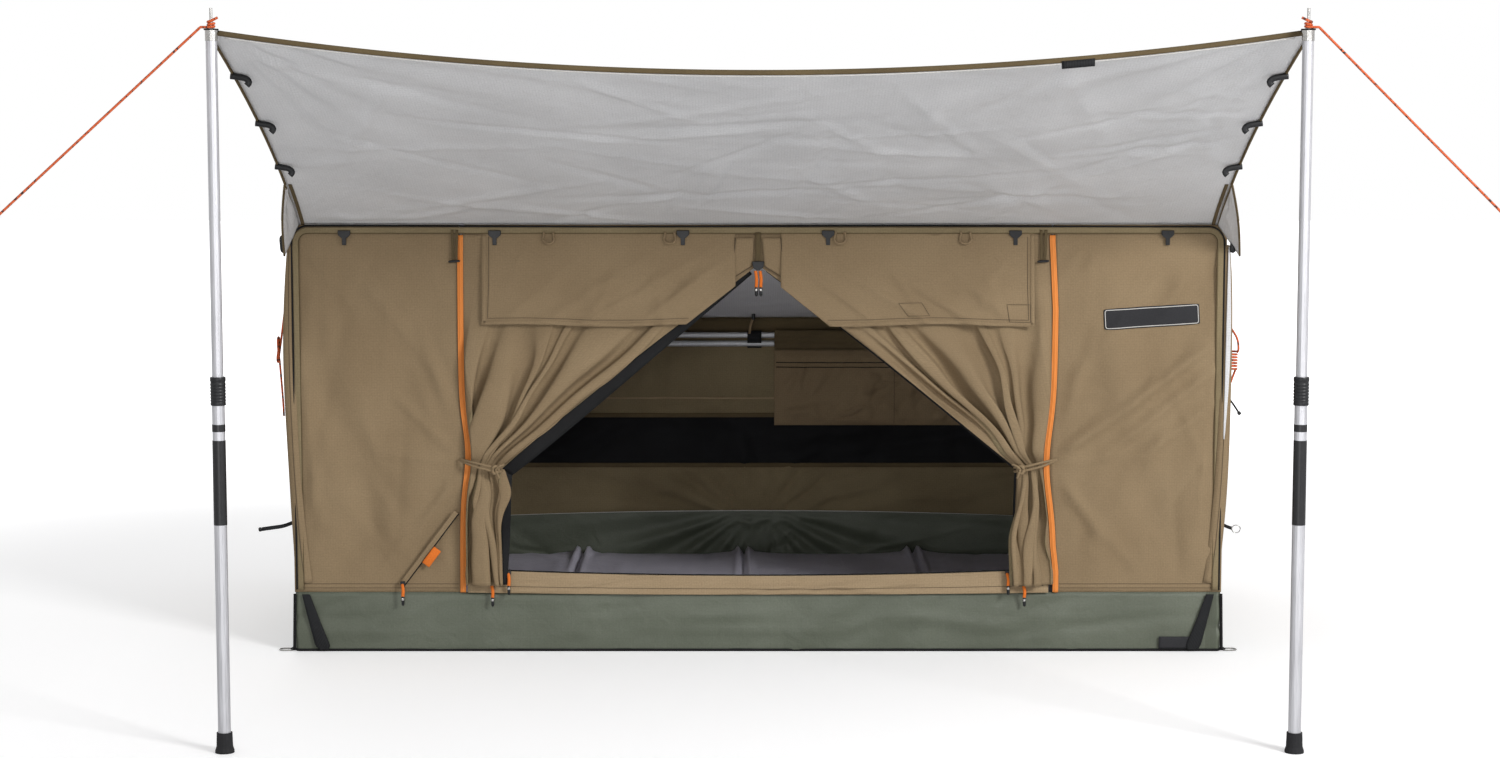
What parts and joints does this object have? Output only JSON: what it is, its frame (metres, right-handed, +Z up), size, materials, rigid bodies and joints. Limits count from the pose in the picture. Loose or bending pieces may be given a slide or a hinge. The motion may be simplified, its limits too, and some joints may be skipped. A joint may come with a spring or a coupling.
{
  "type": "framed swag tent",
  "caption": "Low one-room camping swag: canvas tent body over a waterproof tub floor and foam mattress, with a folding frame and a front awning on telescopic poles and guy ropes.",
  "frame": {"origin": "centre of the groundsheet's underside, on the ground", "axes": "+Z up, +X to the right along the tent's length as seen from the door, +Y from the door to the back wall"},
  "size_m": [3.0042, 2.069, 1.442],
  "materials": {
    "khaki_canvas": "khaki ripstop canvas",
    "green_pvc": "olive coated floor fabric, slightly glossy",
    "silver_lining": "canvas with a matt silver coating underneath",
    "black_mesh": "fine black insect mesh",
    "black_webbing": "woven black webbing",
    "black_plastic": "moulded black plastic",
    "orange_tape": "orange zip tape and cloth tags",
    "orange_rope": "braided orange rope with dark flecks",
    "mattress_cloth": "grey mattress cover",
    "white_aluminium": "satin silver-white tube",
    "mill_aluminium": "plain drawn tube",
    "bright_steel": "plated steel",
    "foot_rubber": "moulded black rubber"
  },
  "bodies": {
    "tent": {"tub": "green_pvc", "mattress": "mattress_cloth", "front_panel_left": "khaki_canvas", "front_panel_right": "khaki_canvas", "front_zip_left": "orange_tape", "front_zip_right": "orange_tape", "front_header": "khaki_canvas", "rim_tape": "black_webbing", "storm_flap_left": "khaki_canvas", "storm_flap_right": "khaki_canvas", "door_flap_left": "khaki_canvas", "door_flap_right": "khaki_canvas", "door_sill": "khaki_canvas", "end_wall_left": "khaki_canvas", "end_wall_right": "khaki_canvas", "rear_wall": "khaki_canvas", "rear_window": "black_mesh", "roof": "khaki_canvas", "awning": "silver_lining", "awning_hem": "khaki_canvas", "awning_edge_left": "khaki_canvas", "awning_edge_right": "khaki_canvas", "corner_cover_left": "khaki_canvas", "corner_cover_right": "khaki_canvas", "corner_webbing_left": "black_webbing", "corner_webbing_right": "black_webbing", "pocket_panel": "khaki_canvas", "rail_cover": "black_webbing", "vent_zip": "orange_tape", "pole_upper_left": "white_aluminium", "pole_upper_right": "white_aluminium", "pole_spike_left": "bright_steel", "pole_spike_right": "bright_steel", "guy_rope_left": "orange_rope", "guy_rope_right": "orange_rope", "guy_knot_left": "orange_rope", "guy_knot_right": "orange_rope", "spare_rope_left": "orange_rope", "spare_rope_right": "orange_rope", "spare_hank": "orange_rope", "base_bar_left": "mill_aluminium", "base_bar_right": "mill_aluminium"},
    "front_hoop": {"front_rail": "mill_aluminium", "front_leg_left": "mill_aluminium", "front_leg_right": "mill_aluminium"},
    "rear_hoop": {"rear_rails": "mill_aluminium", "rear_leg_left": "mill_aluminium", "rear_leg_right": "mill_aluminium"},
    "pole_leg_left": {"pole_lower_left": "white_aluminium", "pole_foot_left": "foot_rubber"},
    "pole_leg_right": {"pole_lower_right": "white_aluminium", "pole_foot_right": "foot_rubber"},
    "collar_left": {"lock_collar_left": "black_plastic"},
    "collar_right": {"lock_collar_right": "black_plastic"},
    "ring_left": {"corner_ring_left": "bright_steel"},
    "ring_right": {"corner_ring_right": "bright_steel"},
    "zip_slider_left": {"door_slider_left": "orange_tape"},
    "zip_slider_right": {"door_slider_right": "orange_tape"},
    "zip_slider_vent": {"vent_slider": "orange_tape"},
    "apex_tag": {"apex_pull": "orange_tape"}
  },
  "joints": [
    {"name": "frame_fold", "type": "hinge", "parent": "tent", "child": "front_hoop", "pos_m": [0, -0.33, 0.17], "axis": [-1, 0, 0], "range_deg": [0, 106], "deforming": ["front_panel_left", "front_panel_right", "front_zip_left", "front_zip_right", "front_header", "rim_tape", "storm_flap_left", "storm_flap_right", "door_flap_left", "door_flap_right", "end_wall_left", "end_wall_right", "rear_wall", "rear_window", "roof", "pocket_panel", "rail_cover", "vent_zip", "corner_cover_left", "corner_cover_right", "awning", "awning_hem", "awning_edge_left", "awning_edge_right", "spare_rope_left", "spare_rope_right", "spare_hank"]},
    {"name": "rear_fold", "type": "hinge", "parent": "tent", "child": "rear_hoop", "pos_m": [0, 0.33, 0.17], "axis": [1, 0, 0], "range_deg": [0, 114]},
    {"name": "pole_slide_left", "type": "slide", "parent": "tent", "child": "pole_leg_left", "axis": [0, 0, 1], "range_m": [0, 0.54]},
    {"name": "pole_slide_right", "type": "slide", "parent": "tent", "child": "pole_leg_right", "axis": [0, 0, 1], "range_m": [0, 0.54]},
    {"name": "collar_turn_left", "type": "hinge", "parent": "pole_leg_left", "child": "collar_left", "pos_m": [-1.045, -1.525, 0.71], "axis": [0, 0, 1], "range_deg": [0, 90]},
    {"name": "collar_turn_right", "type": "hinge", "parent": "pole_leg_right", "child": "collar_right", "pos_m": [1.045, -1.525, 0.71], "axis": [0, 0, 1], "range_deg": [0, 90]},
    {"name": "ring_lift_left", "type": "hinge", "parent": "tent", "child": "ring_left", "pos_m": [-1.0899, -0.511, 0.0018], "axis": [0, 1, 0], "range_deg": [0, 90]},
    {"name": "ring_lift_right", "type": "hinge", "parent": "tent", "child": "ring_right", "pos_m": [1.0899, -0.511, 0.0018], "axis": [0, -1, 0], "range_deg": [0, 90]},
    {"name": "door_zip_left", "type": "slide", "parent": "tent", "child": "zip_slider_left", "axis": [1, 0, 0], "range_m": [0, 0.56]},
    {"name": "door_zip_right", "type": "slide", "parent": "tent", "child": "zip_slider_right", "axis": [-1, 0, 0], "range_m": [0, 0.56]},
    {"name": "vent_zip_slide", "type": "slide", "parent": "tent", "child": "zip_slider_vent", "axis": [0.603, 0, 0.7978], "range_m": [0, 0.075]},
    {"name": "apex_tag_swing", "type": "hinge", "parent": "tent", "child": "apex_tag", "pos_m": [0, -0.5308, 0.903], "axis": [-1, 0, 0], "range_deg": [0, 120]}
  ],
  "couplings": [
    {"joint": "rear_fold", "follows": "frame_fold", "ratio": 1.07}
  ]
}
